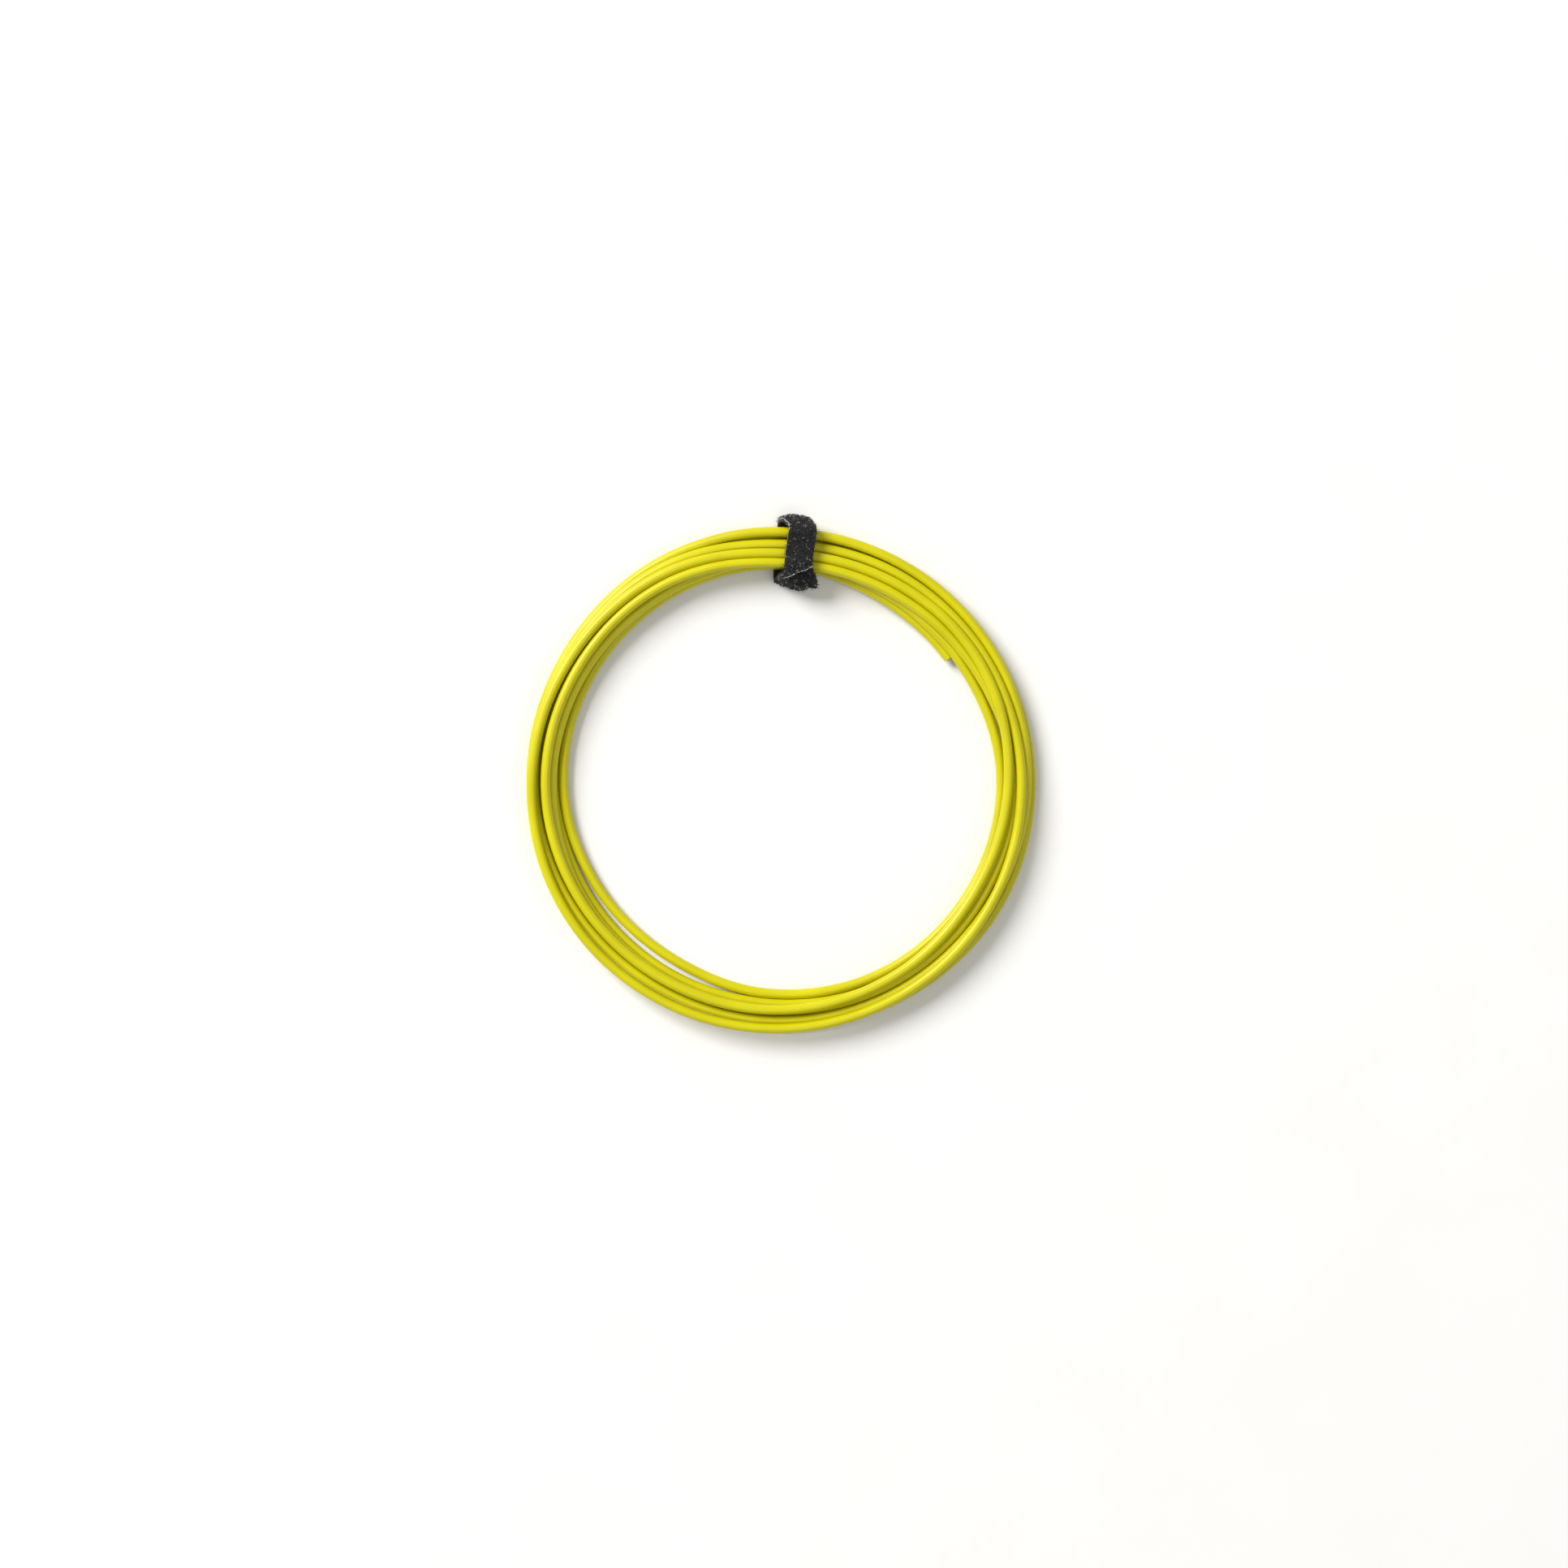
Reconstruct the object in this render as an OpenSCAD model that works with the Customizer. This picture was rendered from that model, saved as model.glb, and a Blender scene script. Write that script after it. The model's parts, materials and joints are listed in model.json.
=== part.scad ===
// Skipping-rope speed cable: a plastic-coated steel wire rope, wound into a flat
// coil of eight turns in two layers and held by a hook-and-loop tie.
// Millimetres, +Z up. The origin is the middle of the coil's eye, at the level
// of the surface that the coil lies on. The tie is on the +Y side.

/* [Cable] */
// Outer diameter of the plastic jacket
jacket_d = 2.5; // [2.3:0.05:2.5]
// Diameter of the jacket's bore, which the wire rope fills
jacket_bore_d = 1.7; // [1.68:0.02:1.8]
// Diameter of one strand of the wire rope
strand_d = 0.46; // [0.3:0.02:0.48]
// Radius of the circle that the six outer strands lie on
strand_ring_r = 0.54; // [0.53:0.01:0.56]

/* [Coil] */
// Radius of the half turn that steps down from the upper layer to the lower
step_turn_r = 64; // [63.5:0.5:80]
// Sine of that half turn's slope, which sets the height between the layers
step_slope = 0.02; // [0.02:0.001:0.022]
// Spacing of turns that lie side by side
turn_pitch = 2.56; // [2.54:0.01:2.62]
// How far the step stands off from the turns beside it
step_out = 0.34; // [0.3:0.02:0.6]
// Direction of the upper layer's cut end, from +X
upper_end_angle = 36; // [5:1:80]
// Direction of the lower layer's cut end, from +X
lower_end_angle = 83; // [60:1:120]

/* [Tie] */
// Width of the hook-and-loop strap
tie_w = 7; // [5:0.5:12]
// Thickness of the strap's hook layer, which faces the cable
hook_t = 0.5; // [0.4:0.05:0.8]
// Thickness of the strap's loop-pile layer, which faces outward
pile_t = 0.7; // [0.5:0.05:1]
// Direction of the tie's middle, from +X
tie_angle = 85.5; // [84:0.5:96]
// Free height inside the tie, above the turns
tie_headroom = 2.7; // [1:0.1:3]
// Free width inside the tie, on each side of the turns
tie_side_gap = 0.6; // [0.4:0.1:2]
// Length of the strap's start end that lies under the tail
overlap = 7; // [5:0.5:8]

/* [Hidden] */

$fn = 48;

// The cable's centre line is a chain of half turns, numbered from the upper cut
// end. Even ones lie on the +Y side and odd ones on the -Y side. Each starts
// where the one before it ends, in the same direction.
step_half = 8;                   // steps down from the upper layer to the lower
last_half = 2 * step_half;       // ends at the lower cut end
step_ledge = 0.01;               // its end faces stand this far off their neighbours'
step_r = step_turn_r * cos(asin(step_slope)) - step_ledge;
layer_rise = 2 * step_turn_r * step_slope;
lower_z = jacket_d / 2;
upper_z = lower_z + layer_rise;
inner_turn_r = step_r - step_out - step_half * turn_pitch / 2;
outer_edge_r = step_r + jacket_d / 2;
inner_edge_r = inner_turn_r - jacket_d / 2;
turns_top_z = upper_z + jacket_d / 2;

// The tie's clear inside, in its own cross-section: X outward, Y up
tie_in_x = inner_edge_r - tie_side_gap;
tie_out_x = outer_edge_r + tie_side_gap;
tie_gap_z = 0.1;                 // under the turns
tie_top_z = turns_top_z + tie_headroom;
strap_t = hook_t + pile_t;
ply_gap = 0.05;                  // between the start end and the tail over it
tail_z = tie_top_z + strap_t + ply_gap;
corner_r = 1.6;                  // inside radius of the tie's corners
start_x = tie_in_x + corner_r + overlap;
hinge_x = start_x + 0.6;         // the tail starts just past the start end
hinge_gap = 0.1;                 // between the tail and the rest of the tie
tail_drop_angle = 50;            // how far the tail bends down round the corner
arc_steps = 10;

// The coil lies on the tie's strap on one side and on the surface on the other
tilt = asin((strap_t + tie_gap_z) / (step_r + tie_in_x));
lift = step_r * sin(tilt);

// Distance of the cable's centre line from the origin where half turn k starts
function crossing_r(k) =
    k < step_half ? inner_turn_r + k * turn_pitch / 2 :
    k < step_half + 2 ? step_r :
    inner_turn_r + (last_half + 1 - k) * turn_pitch / 2;

// Half turn k of a wire whose section, the 2D child, is at the offset
// [outward, up] from the centre line. The first half turn is cut short at its
// start, so it is swept backwards from its end.
module half_turn(k, offset, sweep = 180) {
    start_r = crossing_r(k);
    end_r = crossing_r(k + 1);
    z = k < step_half ? upper_z : k == step_half ? (upper_z + lower_z) / 2 : lower_z;
    slope = k == step_half ? asin(step_slope) : 0;
    turn_r = k == step_half ? step_turn_r : (start_r + end_r) / 2;
    rotate([0, 0, 180 * (k % 2)])
        translate([(start_r - end_r) / 2, 0, z])
            rotate([0, -slope, 0])
                mirror([k == 0 ? 1 : 0, 0, 0])
                    rotate_extrude(angle = sweep, $fn = 180)
                        translate([turn_r + offset[0], offset[1]]) children();
}

// A wire along the whole cable, with the 2D child as its section
module wound_wire(offset = [0, 0]) {
    half_turn(0, offset, 180 - upper_end_angle) children();
    for (k = [1 : last_half - 1]) half_turn(k, offset) children();
    half_turn(last_half, offset, lower_end_angle) children();
}

// Puts the coil's own frame on the surface that the coil lies on
module laid_down() {
    translate([0, 0, lift]) rotate([tilt, 0, 0]) children();
}

module cable_jacket() {
    color("#e0d900") laid_down() wound_wire() difference() {
        circle(d = jacket_d);
        circle(d = jacket_bore_d);
    }
}

module king_strand() {
    color("#b9bcc0") laid_down() wound_wire() circle(d = strand_d);
}

module outer_strand(n) {
    ring_angle = 60 * n;
    ring_offset = strand_ring_r * [cos(ring_angle), sin(ring_angle)];
    color("#c6c9cc") laid_down() wound_wire(ring_offset) circle(d = strand_d);
}

// Points of a corner round centre c, from angle a to angle b, at radius r
function corner(c, r, a, b) =
    [for (i = [0 : arc_steps]) let (t = a + (b - a) * i / arc_steps)
        [c[0] + r * cos(t), c[1] + r * sin(t)]];

// The strap's line at distance d outside the tie's clear inside, from the start
// end, round the turns and back over the start end as far as the hinge
function wrap_line(d) = concat(
    [[start_x, tie_top_z + d]],
    corner([tie_in_x + corner_r, tie_top_z - corner_r], corner_r + d, 90, 180),
    corner([tie_in_x + corner_r, corner_r - tie_gap_z], corner_r + d, 180, 270),
    corner([tie_out_x - corner_r, corner_r - tie_gap_z], corner_r + d, -90, 0),
    corner([tie_out_x - corner_r, tail_z - corner_r], corner_r + d, 0, 90),
    [[hinge_x + hinge_gap, tail_z + d]]);

// The tail's line, from the hinge over the start end and down round the corner
function tail_line(d) = concat(
    [[hinge_x, tail_z + d]],
    corner([tie_in_x + corner_r, tie_top_z - corner_r],
           tail_z - tie_top_z + corner_r + d, 90, 90 + tail_drop_angle));

function reversed(list) = [for (i = [len(list) - 1 : -1 : 0]) list[i]];

// A layer of strap between two lines, across the tie's width
module strap_layer(inside, outside) {
    laid_down() rotate([0, 0, tie_angle]) rotate([90, 0, 0])
        linear_extrude(tie_w, center = true)
            polygon(concat(inside, reversed(outside)));
}

module tie_hook_layer() {
    color("#1a1a1b") strap_layer(wrap_line(0), wrap_line(hook_t));
}

module tie_pile_layer() {
    color("#232324") strap_layer(wrap_line(hook_t), wrap_line(strap_t));
}

module tail_hook_layer() {
    color("#1a1a1b") strap_layer(tail_line(0), tail_line(hook_t));
}

module tail_pile_layer() {
    color("#232324") strap_layer(tail_line(hook_t), tail_line(strap_t));
}

cable_jacket();
king_strand();
outer_strand(1);  // outer_strand_1
outer_strand(2);  // outer_strand_2
outer_strand(3);  // outer_strand_3
outer_strand(4);  // outer_strand_4
outer_strand(5);  // outer_strand_5
outer_strand(6);  // outer_strand_6
tie_hook_layer();
tie_pile_layer();
tail_hook_layer();
tail_pile_layer();
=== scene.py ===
import json
import math

import bpy
import numpy as np
from mathutils import Matrix, Vector


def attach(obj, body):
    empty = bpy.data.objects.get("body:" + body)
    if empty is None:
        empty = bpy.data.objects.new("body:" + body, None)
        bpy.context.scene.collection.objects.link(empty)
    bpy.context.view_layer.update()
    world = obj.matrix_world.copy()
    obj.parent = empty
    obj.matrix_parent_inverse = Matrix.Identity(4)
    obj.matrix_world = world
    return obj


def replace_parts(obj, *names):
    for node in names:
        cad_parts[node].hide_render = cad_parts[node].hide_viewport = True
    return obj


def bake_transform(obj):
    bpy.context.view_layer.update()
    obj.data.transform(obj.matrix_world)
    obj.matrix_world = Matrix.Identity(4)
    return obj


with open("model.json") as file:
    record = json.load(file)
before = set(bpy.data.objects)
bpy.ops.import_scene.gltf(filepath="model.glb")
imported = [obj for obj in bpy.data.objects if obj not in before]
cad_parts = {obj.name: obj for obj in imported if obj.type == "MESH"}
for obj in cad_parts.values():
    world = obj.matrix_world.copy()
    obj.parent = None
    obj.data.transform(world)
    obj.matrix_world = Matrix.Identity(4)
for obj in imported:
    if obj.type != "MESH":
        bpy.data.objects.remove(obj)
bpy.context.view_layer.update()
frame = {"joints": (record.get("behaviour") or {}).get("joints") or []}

MM = 0.001


# ---------------------------------------------------------------- the coil's own frame
# The tie slides round the coil's axis, so that joint gives the coil's tilt and height.
SLIDE = next(j for j in frame["joints"] if j["name"] == "tie_slide")
COIL_UP = Vector(SLIDE["axis"]).normalized()
TILT = Matrix.Rotation(math.atan2(-COIL_UP.y, COIL_UP.z), 4, "X")
COIL = Matrix.Translation(Vector(SLIDE["pos_m"])) @ TILT


def in_world(points):
    """Points in the coil's frame, in millimetres, as metres in the shared frame."""
    m = np.array(COIL)
    return np.asarray(points, float) * MM @ m[:3, :3].T + m[:3, 3]


# ---------------------------------------------------------------- camera
LENS = 85                # mm
SENSOR_WIDTH = 36        # mm
VIEW_WIDTH = 0.4028      # of the floor that the picture takes in, m
VIEW_CENTRE = (0.0007, -0.0006)


def make_camera():
    """The camera looks straight down."""
    camera = bpy.data.objects.new("camera", bpy.data.cameras.new("camera"))
    bpy.context.scene.collection.objects.link(camera)
    camera.data.lens = LENS
    camera.data.sensor_width = SENSOR_WIDTH
    camera.location = (*VIEW_CENTRE, VIEW_WIDTH / SENSOR_WIDTH * LENS)
    camera.data.clip_end = 10
    bpy.context.scene.camera = camera


# ---------------------------------------------------------------- the cable's route
CABLE_D = 2.5            # over the jacket, mm
CORE_D = 1.7             # the jacket's bore
MEAN_R = 59.7            # mm
INNERMOST = 52.9         # the nearest that a turn's centre may come to the axis
OUTERMOST = 64.45        # and the furthest, so that the tie slides past every turn
LOWER_END = 6.25         # clockwise from +Y, in degrees, as all of the route's angles are
STEP = 2.5               # degrees between the route's points
SLOTS = round(360 / STEP)  # points in a full turn
LAST_STEPS = 19          # from the last full turn to the cable's upper cut end

# One row a turn, in the order of winding, clockwise from the lower cut end: how far the
# turn lies outside the mean radius at every 30 degrees, in tenths of a millimetre.
LANE_ANGLE = 30
TURN_LANES = [
    [-11, -11, -11, -9, -9, -14, -30, -28, -23, -19, -14, -12],
    [14, 14, 14, 16, 15, 8, 2, 4, 10, 14, 14, 14],
    [39, 39, 38, 42, 43, 34, 29, 30, 35, 41, 39, 39],
    [36, 36, 34, 28, 16, 8, 10, 15, 27, 37, 34, 32],
    [10, 10, 10, 16, 22, 27, 33, 40, 45, 40, 27, 13],
    [-15, -15, -4, -16, -28, -22, -14, -10, -3, 2, -3, -12],
    [-38, -38, -24, 0, -4, -8, -14, -14, -10, -10, -20, -32],
    [-36, -48, -46, -30, -34, -38, -44, -61, -51, -30, -32, -32],
    [-34, -52, -51, -44],
]
# How late each turn was laid: a high number lies over a low one.
TURN_ORDER = [2, 2, 2, 8, 13, 10.5, 7.5, 0, 0]
OVER_END = (24, 62)      # the last full turn lies over the cable's end between these angles
OVER_END_ORDER = 4
OVER_END_REST = CABLE_D * 1.46  # how high its centre stays there, mm
ORDER_BLUR = 6           # steps each way over which the order and the height change
REST_BLUR = 8

SINK = 0.09              # how far an early turn sinks in a round of settling, mm
LATE_SINK = 0.005        # how much less a turn sinks for each step of its order
PULL = 0.12              # share of the way back to its lane that a turn goes in a round
SMOOTHING = 0.7          # share of its unevenness that a turn loses in a round
SMOOTH_R = 5             # steps each way that are smoothed together, sideways
SMOOTH_Z = 6             # and in height
SOFT_ROUNDS = 0.97       # share of the rounds before the turns are only pushed apart
CLEARANCE = 0.03         # between turns, mm


def wave(values, at):
    """A smooth line through values, one at each whole number, read at the places in at."""
    values = np.asarray(values, float)
    i = np.clip(np.floor(at).astype(int), 0, len(values) - 1)
    t = at - i
    p0, p1, p2, p3 = (values[np.clip(i + k, 0, len(values) - 1)] for k in (-1, 0, 1, 2))
    return 0.5 * (2 * p1 + (p2 - p0) * t + (2 * p0 - 5 * p1 + 4 * p2 - p3) * t ** 2
                  + (3 * p1 - p0 - 3 * p2 + p3) * t ** 3)


def blurred(line, reach):
    """line with each point replaced by the mean of those within reach of it."""
    padded = np.concatenate([np.full(reach, line[0]), line, np.full(reach, line[-1])])
    return np.convolve(padded, np.ones(2 * reach + 1) / (2 * reach + 1), "valid")


def settle(angle, lane, order, rest, rounds=600):
    """Lets the turns come to rest on one another: r and z of each point of the route, in
    the coil's frame. Points at the same angle are circles that may touch but not overlap,
    and none goes below its own height in rest."""
    n = len(angle)
    turns = -(-n // SLOTS)
    aim = MEAN_R + lane
    r = aim.copy()
    z = CABLE_D / 2 + order
    sink = SINK - LATE_SINK * order
    gap = CABLE_D + CLEARANCE

    def grid(line):
        """One row a turn; the places past the cable's end hold nan."""
        out = np.full(turns * SLOTS, np.nan)
        out[:n] = line
        return out.reshape(turns, SLOTS)

    for k in range(rounds):
        soft = max(0.0, 1 - k / (rounds * SOFT_ROUNDS))
        z = z - sink * soft
        r = np.clip(r + (aim - r) * PULL * soft, INNERMOST, OUTERMOST)
        r = r + (blurred(r - aim, SMOOTH_R) - (r - aim)) * SMOOTHING * soft ** 0.5
        z = z + (blurred(z, SMOOTH_Z) - z) * SMOOTHING * soft ** 0.5
        gr, gz = grid(r), grid(z)
        for i in range(turns):
            for j in range(i + 1, turns):
                dr, dz = gr[j] - gr[i], gz[j] - gz[i]
                far = np.maximum(np.hypot(dr, dz), 1e-6)
                push = np.nan_to_num(np.maximum(gap - far, 0)) / 2
                move_r, move_z = np.nan_to_num(push * dr / far), np.nan_to_num(push * dz / far)
                gr[i] -= move_r
                gz[i] -= move_z
                gr[j] += move_r
                gz[j] += move_z
        r = np.clip(gr.ravel()[:n], INNERMOST, OUTERMOST)
        z = np.maximum(gz.ravel()[:n], rest)
    return r, z


def cable_route():
    """The cable's centre line in the coil's frame, in millimetres."""
    total = STEP * (SLOTS * (len(TURN_LANES) - 1) + LAST_STEPS)
    angle = LOWER_END + np.arange(0, total + 0.01, STEP)
    lanes = np.array([v for row in TURN_LANES for v in row]) / 10
    lane = wave(lanes, angle / LANE_ANGLE)
    order = np.repeat(TURN_ORDER, SLOTS)[:len(angle)].astype(float)
    last_full = 360 * (len(TURN_ORDER) - 2)
    held = (angle > last_full + OVER_END[0]) & (angle < last_full + OVER_END[1])
    order = blurred(np.where(held, OVER_END_ORDER, order), ORDER_BLUR)
    rest = blurred(np.where(held, OVER_END_REST, CABLE_D / 2), REST_BLUR)
    r, z = settle(angle, lane, order, rest)
    a = np.radians(angle)
    return np.stack([r * np.sin(a), r * np.cos(a), z], 1)


# ---------------------------------------------------------------- meshes
def new_piece(name, points, faces, materials, face_material=None, uv=None, sharp=40):
    """A mesh from points in the shared frame, in metres; sharp is the angle of its hard edges."""
    mesh = bpy.data.meshes.new(name)
    mesh.from_pydata(np.asarray(points, float).tolist(), [], [list(map(int, f)) for f in faces])
    for material in materials:
        mesh.materials.append(material)
    if face_material is not None:
        mesh.polygons.foreach_set("material_index", np.asarray(face_material, np.int32))
    if uv is not None:
        layer = mesh.uv_layers.new(name="UVMap")
        corner = np.empty(len(mesh.loops), np.int32)
        mesh.loops.foreach_get("vertex_index", corner)
        layer.data.foreach_set("uv", np.asarray(uv, float)[corner].ravel())
    mesh.polygons.foreach_set("use_smooth", np.ones(len(mesh.polygons), bool))
    mesh.set_sharp_from_angle(angle=math.radians(sharp))
    mesh.validate()
    mesh.update()
    piece = bpy.data.objects.new(name, mesh)
    bpy.context.scene.collection.objects.link(piece)
    return piece


def unit(v):
    return v / np.maximum(np.linalg.norm(v, axis=-1, keepdims=True), 1e-12)


def along(line):
    """Distance of each point of a line from its start."""
    return np.concatenate([[0], np.cumsum(np.linalg.norm(np.diff(line, axis=0), axis=1))])


def cross_axes(line):
    """The outward and upward directions of the sections of a line that runs round the coil."""
    heading = unit(np.gradient(line, axis=0))
    up = unit(np.array([0, 0, 1]) - heading * heading[:, 2:3])
    return np.cross(up, heading), up


def ring_faces(first, second, sides):
    """The faces between two rings of points, given by the number of each one's first point."""
    return [(first + k, first + (k + 1) % sides, second + (k + 1) % sides, second + k)
            for k in range(sides)]


# ---------------------------------------------------------------- the cable
JACKET_SIDES = 24
BORE_SIDES = 16
END_ROUND = 0.06         # mm, where the cut rounded the jacket's rim
WIRE_D = 0.46
WIRE_RING_R = 0.54
WIRE_SIDES = 8
WIRE_LAY = 26            # mm of cable in one twist of the outer strands
WIRE_PROUD = 0.15        # the strands stand this far out of the cut jacket


def tube_rings(line, out, up, radii, sides):
    """A ring of points round each point of a line."""
    turn = np.arange(sides) * 2 * math.pi / sides
    spoke = out[:, None] * np.cos(turn)[:, None] + up[:, None] * np.sin(turn)[:, None]
    return line[:, None] + spoke * np.asarray(radii)[:, None, None]


def make_jacket(line, material):
    """The jacket: a tube with a bore, cut square at both ends."""
    out, up = cross_axes(line)
    inset = unit(line[1] - line[0]) * END_ROUND, unit(line[-1] - line[-2]) * END_ROUND
    full = np.concatenate([line[:1], line[:1] + inset[0], line[1:-1], line[-1:] - inset[1], line[-1:]])
    out = np.concatenate([out[:1], out, out[-1:]])
    up = np.concatenate([up[:1], up, up[-1:]])
    radii = np.full(len(full), CABLE_D / 2)
    radii[[0, -1]] -= END_ROUND
    n = len(full)
    outer = tube_rings(full, out, up, radii, JACKET_SIDES)
    bore = tube_rings(full, out, up, np.full(n, CORE_D / 2), BORE_SIDES)
    points = np.concatenate([outer.reshape(-1, 3), bore.reshape(-1, 3)])
    faces = []
    for i in range(n - 1):
        faces += ring_faces(i * JACKET_SIDES, (i + 1) * JACKET_SIDES, JACKET_SIDES)
    start = n * JACKET_SIDES
    for i in range(n - 1):
        faces += [f[::-1] for f in ring_faces(start + i * BORE_SIDES, start + (i + 1) * BORE_SIDES,
                                              BORE_SIDES)]
    for i, flip in ((0, False), (n - 1, True)):
        faces += annulus(i * JACKET_SIDES, start + i * BORE_SIDES, flip)
    distance = along(full)
    uv = np.concatenate([np.stack(np.meshgrid(distance, np.arange(k) / k, indexing="ij"), -1).reshape(-1, 2)
                         for k in (JACKET_SIDES, BORE_SIDES)])
    return new_piece("coil_jacket", in_world(points), faces, [material], uv=uv)


def annulus(outer, bore, flip):
    """Triangles between a ring of the outer surface and one of the bore."""
    faces = []
    i = j = 0
    while i < JACKET_SIDES or j < BORE_SIDES:
        if j == BORE_SIDES or (i < JACKET_SIDES and (i + 1) / JACKET_SIDES <= (j + 1) / BORE_SIDES):
            face = (outer + i % JACKET_SIDES, bore + j % BORE_SIDES, outer + (i + 1) % JACKET_SIDES)
            i += 1
        else:
            face = (outer + i % JACKET_SIDES, bore + j % BORE_SIDES, bore + (j + 1) % BORE_SIDES)
            j += 1
        faces.append(face[::-1] if flip else face)
    return faces


def make_strand(name, line, ring_r, phase, material):
    """One strand of the wire rope, twisted round the cable's centre line."""
    out, up = cross_axes(line)
    ends = unit(line[1] - line[0]) * WIRE_PROUD, unit(line[-1] - line[-2]) * WIRE_PROUD
    line = np.concatenate([line[:1] - ends[0], line[1:-1], line[-1:] + ends[1]])
    distance = along(line)
    twist = (distance / WIRE_LAY * 2 * math.pi + phase)[:, None]
    centre = line + (out * np.cos(twist) + up * np.sin(twist)) * ring_r
    rings = tube_rings(centre, out, up, np.full(len(line), WIRE_D / 2), WIRE_SIDES)
    faces = []
    for i in range(len(line) - 1):
        faces += ring_faces(i * WIRE_SIDES, (i + 1) * WIRE_SIDES, WIRE_SIDES)
    last = (len(line) - 1) * WIRE_SIDES
    faces += [tuple(range(WIRE_SIDES))[::-1], tuple(last + k for k in range(WIRE_SIDES))]
    uv = np.stack(np.meshgrid(distance, np.arange(WIRE_SIDES) / WIRE_SIDES, indexing="ij"), -1)
    return new_piece(name, in_world(rings.reshape(-1, 3)), faces, [material], uv=uv.reshape(-1, 2))


def make_cable(jacket_material, wire_material):
    """The jacket and the seven strands in it, attached together to the cable's body."""
    line = cable_route()
    jacket = make_jacket(line, jacket_material)
    strands = [make_strand("wire_king_strand", line, 0, 0, wire_material)]
    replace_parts(strands[0], "king_strand")
    for n in range(1, 7):
        strand = make_strand(f"wire_outer_strand_{n}", line, WIRE_RING_R, math.radians(60 * n),
                             wire_material)
        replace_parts(strand, f"outer_strand_{n}")
        strands.append(strand)
    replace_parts(jacket, "cable_jacket")
    for strand in strands:
        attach(strand, "cable")
    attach(jacket, "cable")


# ---------------------------------------------------------------- the tie
# The tie's own frame: u outward from the coil's axis, h up, w to the right, in mm.
TIE_ANGLE = 85.5
TIE_HALF_W = 3.5
HOOK_T = 0.5
STRAP_T = 1.2
UNDERSIDE = -1.2         # no loose thread hangs below this height
COLUMNS = 14
FIRST_U = 63.1           # where the tail joins the wrap
KEY_STEP = 0.05          # of the way between two key points, from one point of a strap's line to the next
EDGE_CURL_POWER = 2.5    # how sharply the curl of a strap's edges sets in
# The strap's surface is uneven in two waves: height in mm, then turns of the wave in
# radians, for each mm along the strap and from its middle to its edge
RIPPLES = [(0.09, 1.9, 1.3), (0.07, 3.7, -2.9)]

# The strap's hook face: u, h, w, then the direction across the strap as u, h, w, and how
# far the strap's edges curl below its middle
WRAP_KEYS = [
    (53.3, 6.2, 5.1, -0.80, -0.55, 0.25, 0.3),
    (53.2, 6.2, 3.2, -0.80, -0.54, 0.27, 0.4),
    (52.9, 6.1, 1.2, -0.74, -0.47, 0.48, 0.4),
    (51.6, 5.1, -0.6, -0.52, -0.42, 0.74, 0.5),
    (51.2, 3.5, -1.8, -0.38, -0.15, 0.91, 0.8),
    (51.1, 1.6, -2.2, -0.25, 0, 0.97, 0.8),
    (52.0, 0.2, -2.5, -0.05, 0, 1, 0.3),
    (53.6, -0.05, -2.7, 0, 0, 1, 0),
    (58.7, -0.02, -2.7, 0, 0, 1, 0),
    (63.8, -0.05, -2.7, 0, 0, 1, 0),
    (65.6, 0.6, -2.5, 0, 0, 1, 0.1),
    (66.3, 2.3, -2.4, 0, 0, 1, 0.4),
    (66.7, 4.4, -2.0, 0, 0.05, 1, 0.8),
    (66.8, 6.4, -1.0, 0, -0.1, 1, 1.0),
    (66.0, 8.3, -0.1, -0.05, -0.25, 0.97, 1.0),
    (64.7, 9.2, 0.4, 0, -0.25, 0.97, 0.6),
    (FIRST_U, 8.9, 0.35, 0, -0.14, 0.99, 0.35),
]
TAIL_KEYS = [
    (FIRST_U, 8.9, 0.35, 0, -0.14, 0.99, 0.35),
    (61.2, 8.6, 0.25, 0, -0.04, 1, 0.3),
    (59.0, 8.6, 0.1, 0, 0, 1, 0.3),
    (57.0, 8.95, 0, 0, 0, 1, 0.3),
    (55.3, 9.0, 0, 0, 0, 1, 0.3),
    (54.1, 8.75, -0.1, 0, 0, 1, 0.4),
    (53.1, 8.4, -0.1, 0, 0, 1, 0.4),
    (52.1, 7.9, -0.1, 0, 0, 1, 0.4),
]
TAIL_SLANT = 3.5         # the right corner of the tail's cut ends this much earlier
START_SLANT = 2.4        # and the upper corner of the start's cut begins this much later


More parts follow.
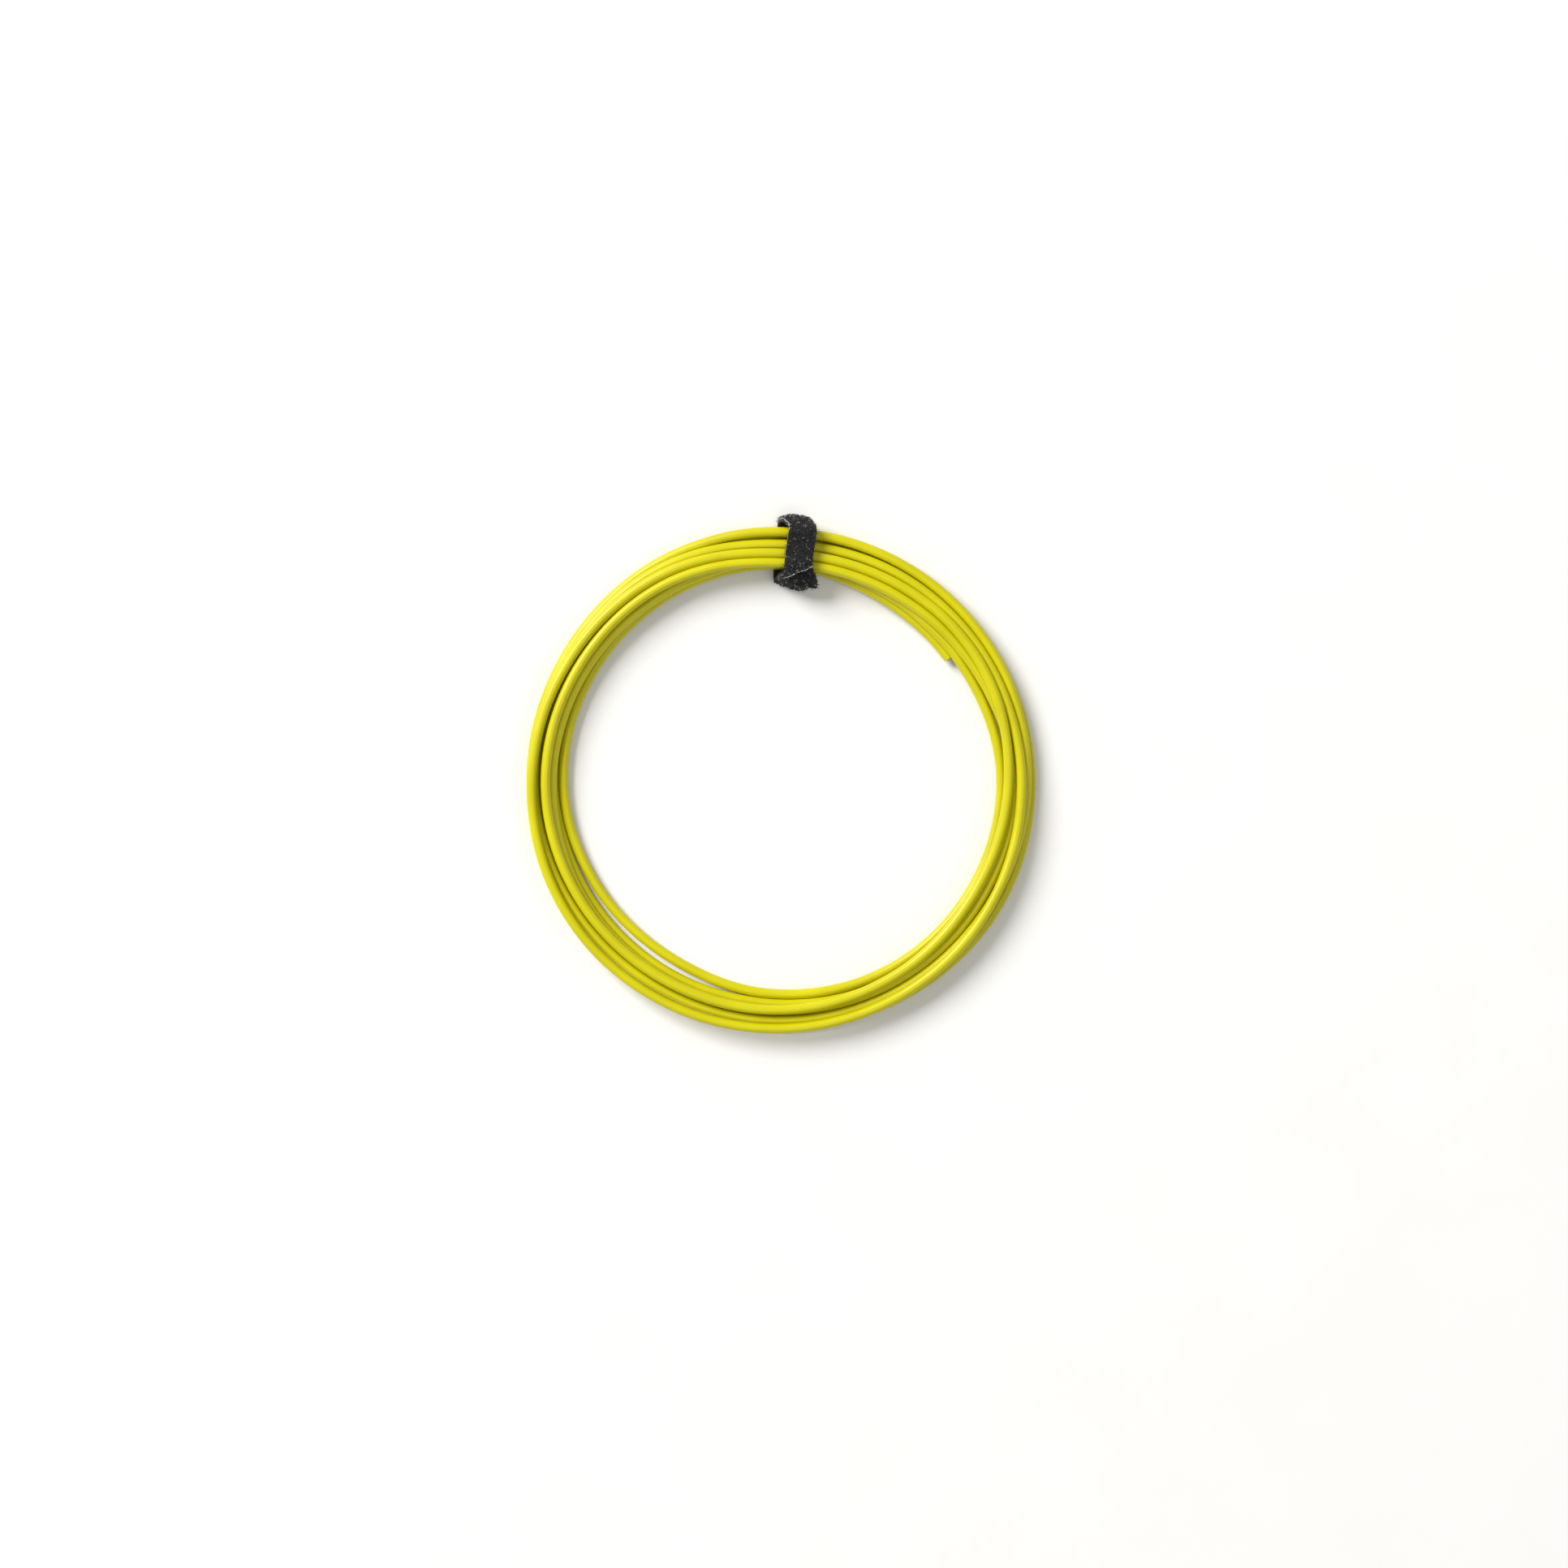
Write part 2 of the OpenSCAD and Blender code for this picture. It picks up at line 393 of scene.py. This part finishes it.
class Strap:
    """A strap along key points. A place on it is a fraction of its length, a side from -1
    to 1 and a height off the hook face."""

    def __init__(self, keys, before=None, after=None, slant=0, start_slant=0):
        keys = np.array(keys, float)
        self.slant = slant
        self.start_slant = start_slant
        padded = np.concatenate([[before if before is not None else 2 * keys[0] - keys[1]], keys,
                                 [after if after is not None else 2 * keys[-1] - keys[-2]]])
        at = np.arange(0, len(keys) - 1 + 1e-9, KEY_STEP) + 1
        smooth = np.stack([wave(padded[:, k], at) for k in range(7)], 1)
        self.line = smooth[:, :3]
        self.distance = along(self.line)
        self.length = self.distance[-1]
        heading = unit(np.gradient(self.line, axis=0))
        across = smooth[:, 3:6] - heading * np.sum(smooth[:, 3:6] * heading, 1, keepdims=True)
        self.curl = smooth[:, 6]
        self.heading = heading
        self.across = unit(across)
        self.normal = np.cross(heading, self.across)

    def look_up(self, table, s):
        """The row of a table of the strap's line at the distances in s."""
        return np.stack([np.interp(s, self.distance, table[:, k]) for k in range(3)], -1)

    def run(self, fraction, side):
        """Distance along the strap; both cuts may be slanted."""
        start = self.start_slant * ((1 - side) / 2) ** 2
        return start + fraction * (self.length - start - self.slant * (side + 1) / 2)

    def place(self, fraction, side, height):
        """Places in the tie's frame; fraction runs from 0 to 1 over the strap's length."""
        given = (np.asarray(v, float) for v in (fraction, side, height))
        fraction, side, height = np.broadcast_arrays(*given)
        s = self.run(fraction, side)
        across, normal = unit(self.look_up(self.across, s)), unit(self.look_up(self.normal, s))
        ripple = sum(tall * np.sin(s * lengthways + side * sideways)
                     for tall, lengthways, sideways in RIPPLES)
        topside = np.clip(1 + 2 * normal[..., 1], 0, 1)
        curl = np.interp(s, self.distance, self.curl) * np.abs(side) ** EDGE_CURL_POWER
        lift = height + ripple * topside - curl
        return (self.look_up(self.line, s) + across * (side * TIE_HALF_W)[..., None]
                + normal * lift[..., None])

    def directions(self, fraction, side):
        """Along the strap, across it and out of its pile, at a place on it."""
        s = self.run(np.asarray(fraction), np.asarray(side))
        return (unit(self.look_up(self.heading, s)), unit(self.look_up(self.across, s)),
                unit(self.look_up(self.normal, s)))


def tie_world(points):
    """Points in the tie's frame, in mm, as metres in the shared frame."""
    a = math.radians(TIE_ANGLE)
    u, h, w = np.moveaxis(np.asarray(points, float), -1, 0)
    coil = np.stack([u * math.cos(a) + w * math.sin(a), u * math.sin(a) - w * math.cos(a), h], -1)
    return in_world(coil)


ROW_LENGTH = 0.45        # of strap to a row of faces, mm
CUT_ROWS = 3             # rows over which an uneven cut dies out
EDGE_WAVE = 0.012        # of the strap's half width
EDGE_WAVE_TURN = 5.3     # radians for each mm along the strap


def make_layer(name, strap, low, high, materials, ragged, rng):
    """A layer of strap between two heights; ragged is how uneven its (start, end) cuts are."""
    rows = max(12, int(strap.length / ROW_LENGTH))
    fraction = np.linspace(0, 1, rows + 1)[:, None]
    side = np.linspace(-1, 1, COLUMNS + 1)[None]
    jag = rng.uniform(-1, 1, (2, COLUMNS + 1))
    near = np.clip(1 - np.arange(rows + 1) / CUT_ROWS, 0, 1)[:, None]
    shift = (near * jag[0] * ragged[0] + near[::-1] * jag[1] * ragged[1]) / strap.length
    edge = 1 + EDGE_WAVE * np.sin(fraction * strap.length * EDGE_WAVE_TURN) * (np.abs(side) > 0.99)
    grids = [strap.place(fraction + shift, side * edge, d) for d in (low, high)]
    width = COLUMNS + 1
    points = np.concatenate([g.reshape(-1, 3) for g in grids])
    top = (rows + 1) * width
    faces, kind = [], []
    for i in range(rows):
        for j in range(COLUMNS):
            a = i * width + j
            quad = (a, a + 1, a + width + 1, a + width)
            faces += [quad, tuple(top + k for k in quad[::-1])]
            kind += [0, 0]
    rim = ([j for j in range(width)] + [i * width + COLUMNS for i in range(1, rows + 1)]
           + [rows * width + j for j in range(COLUMNS - 1, -1, -1)]
           + [i * width for i in range(rows - 1, 0, -1)])
    for a, b in zip(rim, rim[1:] + rim[:1]):
        faces.append((b, a, top + a, top + b))
        kind.append(1)
    distance = (fraction * strap.length + 0 * side).ravel()
    sideways = (side * TIE_HALF_W + 0 * fraction).ravel()
    uv = np.tile(np.stack([distance, sideways], 1), (2, 1))
    return new_piece(name, tie_world(points), faces, materials, kind, uv)


def thin_tubes(lines, radius, sides):
    """Points and faces of one closed tube along each of the lines, all of one point count."""
    count, steps, _ = lines.shape
    heading = unit(np.gradient(lines, axis=1))
    helper = np.where(np.abs(heading[..., :1]) < 0.8, [[[1.0, 0, 0]]], [[[0, 1.0, 0]]])
    one = unit(np.cross(heading, helper))
    two = np.cross(heading, one)
    turn = np.arange(sides) * 2 * math.pi / sides
    spoke = (one[:, :, None] * np.cos(turn)[:, None] + two[:, :, None] * np.sin(turn)[:, None])
    points = lines[:, :, None] + spoke * np.asarray(radius)[:, None, None, None]
    faces = []
    for c in range(count):
        first = c * steps * sides
        for i in range(steps - 1):
            faces += ring_faces(first + i * sides, first + (i + 1) * sides, sides)
        faces.append(tuple(first + k for k in range(sides))[::-1])
        faces.append(tuple(first + (steps - 1) * sides + k for k in range(sides)))
    return points.reshape(-1, 3), faces, steps * sides - sides + 2


PILE_PER_MM2 = 11        # loops to a square millimetre
LINT_AND_GLINT_SHARE = 0.07        # of the loops are pale: partly dust, partly painted glints on the pile
LOOP_SPAN = (0.25, 0.7)  # mm
LOOP_TALL = (0.12, 0.5)
LOOP_BOW = 0.2           # how far a loop leans out of its plane, at most
LOOP_RADIUS = (0.025, 0.05)
LOOP_POINTS = 6
ROOT_DEPTH = 0.06        # the loops are rooted this far below the pile's face
FACING_DOWN = -0.55      # faces turned further down than this carry no loops
CUT_THREAD_RADIUS = (0.07, 0.13)
CUT_THREAD_UNEVEN = 0.08
END_THREAD_UNEVEN = 0.07
FRAY_REACH = (0.3, 0.9)
FRAY_RADIUS = (0.02, 0.035)
FRAY_SPREAD = 0.45       # how far the threads' directions differ
PALE_FRAYS = 0.15        # of the loose threads are pale
THREAD_POINTS = 5


def make_pile(name, strap, materials, rng):
    """The strap's loop pile: thousands of small loops of thread standing on its outer face."""
    count = int(strap.length * 2 * TIE_HALF_W * PILE_PER_MM2)
    fraction = rng.uniform(0.005, 0.995, count)
    side = rng.uniform(-0.99, 0.99, count)
    heading, across, normal = strap.directions(fraction, side)
    keep = normal[:, 1] > FACING_DOWN
    fraction, side = fraction[keep], side[keep]
    heading, across, normal = heading[keep], across[keep], normal[keep]
    count = len(fraction)
    base = strap.place(fraction, side, STRAP_T - ROOT_DEPTH)
    turn = rng.uniform(0, 2 * math.pi, count)[:, None]
    lean = heading * np.cos(turn) + across * np.sin(turn)
    span = rng.uniform(*LOOP_SPAN, count)[:, None]
    tall = rng.uniform(*LOOP_TALL, count)[:, None]
    bow = unit(np.cross(lean, normal)) * rng.uniform(-LOOP_BOW, LOOP_BOW, count)[:, None]
    steps = np.linspace(0, 1, LOOP_POINTS)
    lines = np.stack([base + lean * span * (t - 0.5) + (normal * tall + bow) * math.sin(math.pi * t)
                      for t in steps], 1)
    points, faces, per_loop = thin_tubes(lines, rng.uniform(*LOOP_RADIUS, count), 4)
    # pale loops in the thread's colour: dust, and painted glints where the loops catch the light
    kind = np.repeat((rng.random(count) < LINT_AND_GLINT_SHARE).astype(int), per_loop)
    return new_piece(name, tie_world(points), faces, materials, kind, sharp=180)


def make_cut_threads(name, strap, runs, material, rng):
    """Pale backing threads along the strap's cuts: runs are (from, to, side) with side -1 or 1,
    or (side from, side to, None) for a cut across the strap's end."""
    lines, radii = [], []
    for first, last, side in runs:
        place = first
        while place < last:
            step = rng.uniform(0.01, 0.03) if side is not None else rng.uniform(0.1, 0.3)
            stop = min(last, place + step)
            t = np.linspace(place, stop, THREAD_POINTS)
            uneven = rng.standard_normal(THREAD_POINTS)
            if side is None:
                line = strap.place(1.0, t, STRAP_T + 0.02 + END_THREAD_UNEVEN * uneven)
                line += strap.directions(1.0, t)[0] * 0.04
            else:
                line = strap.place(t, side * 1.012, HOOK_T + 0.40 + CUT_THREAD_UNEVEN * uneven)
            lines.append(line)
            radii.append(rng.uniform(*CUT_THREAD_RADIUS))
            place = stop + rng.uniform(0, 0.35) * step
    points, faces, _ = thin_tubes(np.stack(lines), np.array(radii), 5)
    return new_piece(name, tie_world(points), faces, [material], sharp=180)


def make_frays(name, strap, runs, materials, rng):
    """Loose thread ends that stick out of the strap's edges and cuts: runs are (from, to,
    side, count), where side is -1 or 1, "start" for the start's cut or None for the end's."""
    lines = []
    for first, last, side, count in runs:
        for _ in range(count):
            if side is None:
                f, c = 1.0, rng.uniform(first, last)
            elif side == "start":
                f, c = 0.0, rng.uniform(first, last)
            else:
                f, c = rng.uniform(first, last), side
            base = strap.place(f, c, rng.uniform(HOOK_T, STRAP_T))
            heading, across, normal = strap.directions(f, c)
            way = heading if side is None else -heading if side == "start" else across * side
            way = unit(way + rng.normal(0, FRAY_SPREAD, 3) + normal * 0.25)
            curl = unit(np.cross(way, rng.normal(0, 1, 3)))
            reach = rng.uniform(*FRAY_REACH)
            line = np.array([base - way * 0.1 + way * reach * t + curl * reach * 0.3 * t * t
                             for t in np.linspace(0, 1, THREAD_POINTS)])
            line[:, 1] = np.maximum(line[:, 1], UNDERSIDE)
            lines.append(line)
    radii = rng.uniform(*FRAY_RADIUS, len(lines))
    points, faces, per_thread = thin_tubes(np.array(lines), radii, 4)
    kind = np.repeat((rng.random(len(lines)) < PALE_FRAYS).astype(int), per_thread)
    return new_piece(name, tie_world(points), faces, materials, kind, sharp=180)


def make_tie(hook, pile, thread):
    """The wrap rides on the tie, and the tail is blended across the joint between them."""
    rng = np.random.default_rng(7)
    wrap = Strap(WRAP_KEYS, after=TAIL_KEYS[1], start_slant=START_SLANT)
    tail = Strap(TAIL_KEYS, before=WRAP_KEYS[-2], slant=TAIL_SLANT)
    wrap_pieces = [
        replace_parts(make_layer("tie_hooks", wrap, 0, HOOK_T, [hook, hook], (0.35, 0), rng),
                    "tie_hook_layer"),
        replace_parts(make_layer("tie_loop_backing", wrap, HOOK_T, STRAP_T, [pile, pile], (0.35, 0), rng),
                    "tie_pile_layer"),
        make_pile("tie_loop_pile", wrap, [pile, thread], rng),
        make_cut_threads("tie_cut_threads", wrap, [(0.6, 0.97, -1), (0.02, 0.2, 1)], thread, rng),
        make_frays("tie_frays", wrap, [(-1, 1, "start", 60), (0.5, 1, -1, 90), (0.5, 1, 1, 70),
                                       (0, 0.2, 1, 40)], [pile, thread], rng),
    ]
    tail_pieces = [
        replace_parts(make_layer("tail_hooks", tail, 0, HOOK_T, [hook, hook], (0, 0.25), rng),
                    "tail_hook_layer"),
        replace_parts(make_layer("tail_loop_backing", tail, HOOK_T, STRAP_T, [pile, pile], (0, 0.25), rng),
                    "tail_pile_layer"),
        make_pile("tail_loop_pile", tail, [pile, thread], rng),
        make_cut_threads("tail_cut_threads", tail, [(-1, 1, None)], thread, rng),
        make_frays("tail_frays", tail, [(-1, 1, None, 40), (0, 1, -1, 60), (0, 1, 1, 50)],
                   [pile, thread], rng),
    ]
    for piece in wrap_pieces:
        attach(piece, "tie")
    for piece in tail_pieces:
        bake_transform(piece)


# ---------------------------------------------------------------- materials
def new_material(name):
    """A material with nothing in it but a principled shader."""
    material = bpy.data.materials.new(name)
    material.use_nodes = True
    nodes = material.node_tree.nodes
    nodes.clear()
    output = nodes.new("ShaderNodeOutputMaterial")
    shader = nodes.new("ShaderNodeBsdfPrincipled")
    material.node_tree.links.new(shader.outputs["BSDF"], output.inputs["Surface"])
    return material, shader


def node(material, kind, links=(), **values):
    """Adds a node; links are (input name, the socket that feeds it)."""
    made = material.node_tree.nodes.new(kind)
    for name, value in values.items():
        if hasattr(made, name):
            setattr(made, name, value)
        else:
            made.inputs[name.replace("_", " ")].default_value = value
    for name, socket in links:
        material.node_tree.links.new(socket, made.inputs[name])
    return made


def ramp(material, socket, *stops):
    """A colour ramp; stops are (place, colour)."""
    made = node(material, "ShaderNodeValToRGB", [("Fac", socket)])
    elements = made.color_ramp.elements
    while len(elements) < len(stops):
        elements.new(0.5)
    for element, (place, colour) in zip(elements, stops):
        element.position = place
        element.color = (*colour, 1)
    return made.outputs["Color"]


def grey(v):
    return (v, v, v)


def stretched(material, source, scale):
    coordinates = node(material, "ShaderNodeTexCoord")
    return node(material, "ShaderNodeMapping", [("Vector", coordinates.outputs[source])],
                Scale=scale).outputs["Vector"]


def noise(material, source, stretch, **values):
    return node(material, "ShaderNodeTexNoise", [("Vector", stretched(material, source, stretch))],
                **values).outputs["Fac"]


def feed(material, shader, name, socket):
    material.node_tree.links.new(socket, shader.inputs[name])


def bump(material, shader, socket, strength, distance):
    made = node(material, "ShaderNodeBump", [("Height", socket)], Strength=strength, Distance=distance)
    feed(material, shader, "Normal", made.outputs["Normal"])


def jacket_material():
    """Soft glossy plastic over the wire, with faint streaks from the extruder."""
    material, shader = new_material("yellow_green_pvc")
    cloudy = noise(material, "Object", (1, 1, 1), Scale=70, Detail=3)
    feed(material, shader, "Base Color",
         ramp(material, cloudy, (0.3, (0.575, 0.525, 0.0)), (0.7, (0.655, 0.60, 0.001))))
    streaks = noise(material, "UV", (0.03, 9, 1), Scale=3, Detail=4)
    feed(material, shader, "Roughness", ramp(material, streaks, (0.3, grey(0.27)), (0.7, grey(0.38))))
    bump(material, shader, streaks, 0.12, 0.0001)
    shader.inputs["IOR"].default_value = 1.47
    shader.inputs["Specular IOR Level"].default_value = 0.38
    return material


def wire_material():
    """Drawn wire, with faint marks along it."""
    material, shader = new_material("galvanised_wire")
    drawn = noise(material, "UV", (0.1, 12, 1), Scale=4, Detail=3)
    feed(material, shader, "Base Color", ramp(material, drawn, (0.3, (0.46, 0.47, 0.48)),
                                              (0.7, (0.66, 0.67, 0.68))))
    feed(material, shader, "Roughness", ramp(material, drawn, (0.3, grey(0.28)), (0.7, grey(0.45))))
    bump(material, shader, drawn, 0.1, 0.00005)
    shader.inputs["Metallic"].default_value = 1
    return material


def hook_material():
    """Black nylon hook tape: rows of tiny hooks."""
    material, shader = new_material("black_hook_tape")
    where = stretched(material, "UV", (1, 1, 1))
    hooks = node(material, "ShaderNodeTexVoronoi", [("Vector", where)], Scale=3.2, Randomness=0.35)
    dots = ramp(material, hooks.outputs["Distance"], (0.15, grey(1)), (0.5, grey(0)))
    feed(material, shader, "Base Color", ramp(material, hooks.outputs["Distance"],
                                              (0.1, grey(0.022)), (0.6, grey(0.006))))
    feed(material, shader, "Roughness", ramp(material, dots, (0, grey(0.7)), (1, grey(0.42))))
    bump(material, shader, dots, 0.8, 0.0003)
    return material


def pile_material():
    """Black nylon loop pile, fuzzy and a little faded in patches, with lighter specks in its colour that
    are partly lint and partly painted glints where the loops catch the light.
    """
    material, shader = new_material("black_loop_pile")
    fuzz = noise(material, "Object", (1, 1, 1), Scale=1700, Detail=6, Roughness=0.75)
    patches = noise(material, "Object", (1, 1, 1), Scale=420, Detail=2)
    # lighter specks of fuzz in the base colour: lint, and painted glints on the loops
    fuzz_lint_and_painted_glints = ramp(material, fuzz, (0.44, (0.001, 0.001, 0.0012)), (0.68, (0.044, 0.044, 0.048)))
    tone = ramp(material, patches, (0.3, grey(0.4)), (0.75, grey(1)))
    mixed = node(material, "ShaderNodeMix", data_type="RGBA", blend_type="MULTIPLY")
    mixed.inputs[0].default_value = 1
    material.node_tree.links.new(fuzz_lint_and_painted_glints, mixed.inputs[6])
    material.node_tree.links.new(tone, mixed.inputs[7])
    feed(material, shader, "Base Color", mixed.outputs[2])
    feed(material, shader, "Roughness", ramp(material, fuzz, (0.3, grey(0.95)), (0.8, grey(0.6))))
    bump(material, shader, fuzz, 0.9, 0.0003)
    shader.inputs["Sheen Weight"].default_value = 0.12
    shader.inputs["Sheen Roughness"].default_value = 0.5
    return material


def thread_material():
    """The strap's pale backing thread where the strap is cut; it also colours the pale loose threads and
    the pale loops of the pile, which are dust and painted glints.
    """
    material, shader = new_material("pale_thread")
    twist = noise(material, "Object", (1, 1, 1), Scale=3000, Detail=3)
    feed(material, shader, "Base Color", ramp(material, twist, (0.35, grey(0.30)), (0.65, grey(0.72))))
    feed(material, shader, "Roughness", ramp(material, twist, (0.3, grey(0.8)), (0.7, grey(0.55))))
    bump(material, shader, twist, 0.5, 0.0001)
    return material


def floor_material():
    """Matt white, very slightly mottled."""
    material, shader = new_material("white_floor")
    mottle = noise(material, "Object", (1, 1, 1), Scale=30, Detail=4)
    feed(material, shader, "Base Color", ramp(material, mottle, (0.3, (0.87, 0.866, 0.858)),
                                              (0.7, (0.885, 0.882, 0.875))))
    shader.inputs["Roughness"].default_value = 0.9
    shader.inputs["Specular IOR Level"].default_value = 0.1
    return material


# ---------------------------------------------------------------- floor and light
FLOOR_HALF = 3.0         # m


def make_floor(material):
    corners = [(-FLOOR_HALF, -FLOOR_HALF, 0), (FLOOR_HALF, -FLOOR_HALF, 0),
               (FLOOR_HALF, FLOOR_HALF, 0), (-FLOOR_HALF, FLOOR_HALF, 0)]
    floor = new_piece("floor", corners, [(0, 1, 2, 3)], [material])


def make_light(name, direction, distance, size, power, colour):
    """A round lamp in that direction from the origin, facing it: metres and watts."""
    light = bpy.data.lights.new(name, "AREA")
    light.shape = "DISK"
    light.size = size
    light.energy = power
    light.color = colour
    lamp = bpy.data.objects.new(name, light)
    bpy.context.scene.collection.objects.link(lamp)
    way = Vector(direction).normalized()
    lamp.location = way * distance
    lamp.rotation_euler = way.to_track_quat("Z", "Y").to_euler()


def make_lights():
    make_light("key_light", (-0.62, 0.52, 0.72), 4, 2.3, 186, (1, 0.985, 0.965))
    make_light("fill_light", (0.25, -0.25, 1), 3, 2.4, 17, (0.97, 0.98, 1))
    world = bpy.data.worlds.new("studio")
    bpy.context.scene.world = world
    world.use_nodes = True
    back = world.node_tree.nodes["Background"]
    back.inputs["Color"].default_value = (1, 0.995, 0.985, 1)
    back.inputs["Strength"].default_value = 0.33


# ---------------------------------------------------------------- the scene
bpy.context.scene.view_settings.view_transform = "Standard"
make_camera()
make_cable(jacket_material(), wire_material())
make_tie(hook_material(), pile_material(), thread_material())
make_floor(floor_material())
make_lights()
